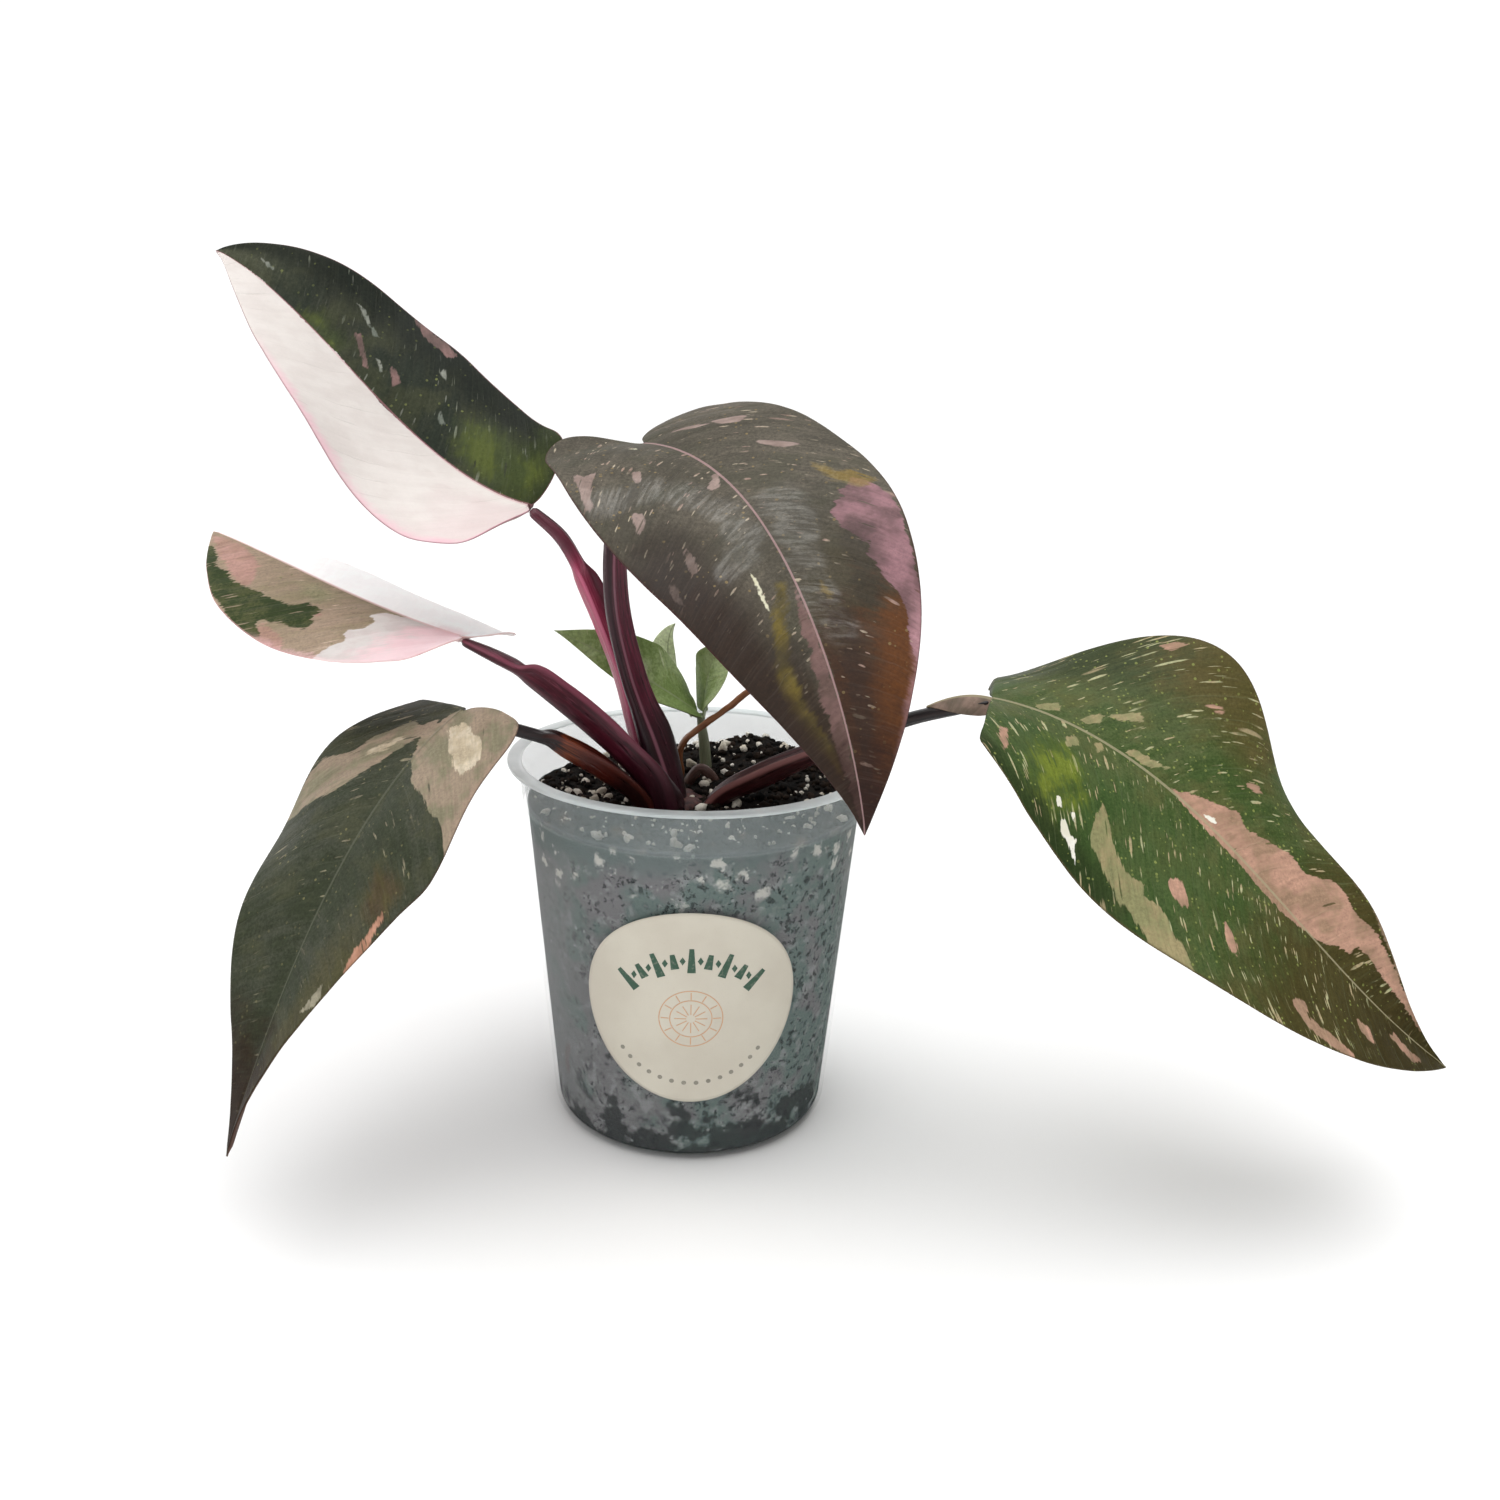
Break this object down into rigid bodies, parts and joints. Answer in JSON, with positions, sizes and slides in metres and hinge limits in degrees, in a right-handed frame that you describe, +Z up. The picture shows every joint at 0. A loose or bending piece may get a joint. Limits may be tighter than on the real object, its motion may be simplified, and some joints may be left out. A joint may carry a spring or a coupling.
{
  "type": "potted red anderson philodendron",
  "caption": "House plant with broad variegated leaves on winged red stalks, standing in a translucent nursery pot filled with potting mix.",
  "frame": {"origin": "centre of the flat underside of the pot", "axes": "+Z up along the pot's axis; the sticker faces -Y and the large drooping leaf reaches out to +X"},
  "size_m": [0.3986, 0.1688, 0.2779],
  "materials": {
    "pot_plastic": "frosted translucent polypropylene",
    "sticker_paper": "matte cream paper",
    "potting_mix": "moist bark and peat crumbs with white perlite",
    "crown": "rough dark red plant stem",
    "stalk": "satin maroon plant tissue",
    "leaf_dark_and_white": "glossy leaf, dark green with one white half",
    "leaf_bronze": "glossy leaf, bronze with pink patches",
    "leaf_pale": "satin leaf, beige, green and white",
    "leaf_dark": "glossy leaf, dark green with beige patches",
    "leaf_green": "glossy leaf, green with pink patches",
    "shoot_stem": "satin green plant stem",
    "shoot_leaf": "satin green leaf with pale mottling",
    "root": "dry brown root"
  },
  "bodies": {
    "root": {"pot": "pot_plastic", "sticker": "sticker_paper", "potting_mix": "potting_mix", "crown": "crown", "stalk_upper_left": "stalk", "stalk_centre": "stalk", "stalk_middle_left": "stalk", "stalk_lower_left": "stalk", "stalk_right": "stalk", "leaf_upper_left": "leaf_dark_and_white", "leaf_centre": "leaf_bronze", "leaf_middle_left": "leaf_pale", "leaf_lower_left": "leaf_dark", "leaf_right": "leaf_green", "shoot_stem": "shoot_stem", "shoot_leaf_left": "shoot_leaf", "shoot_leaf_right": "shoot_leaf", "shoot_leaf_back": "shoot_leaf", "aerial_root": "root", "arched_root": "root"}
  },
  "joints": []
}
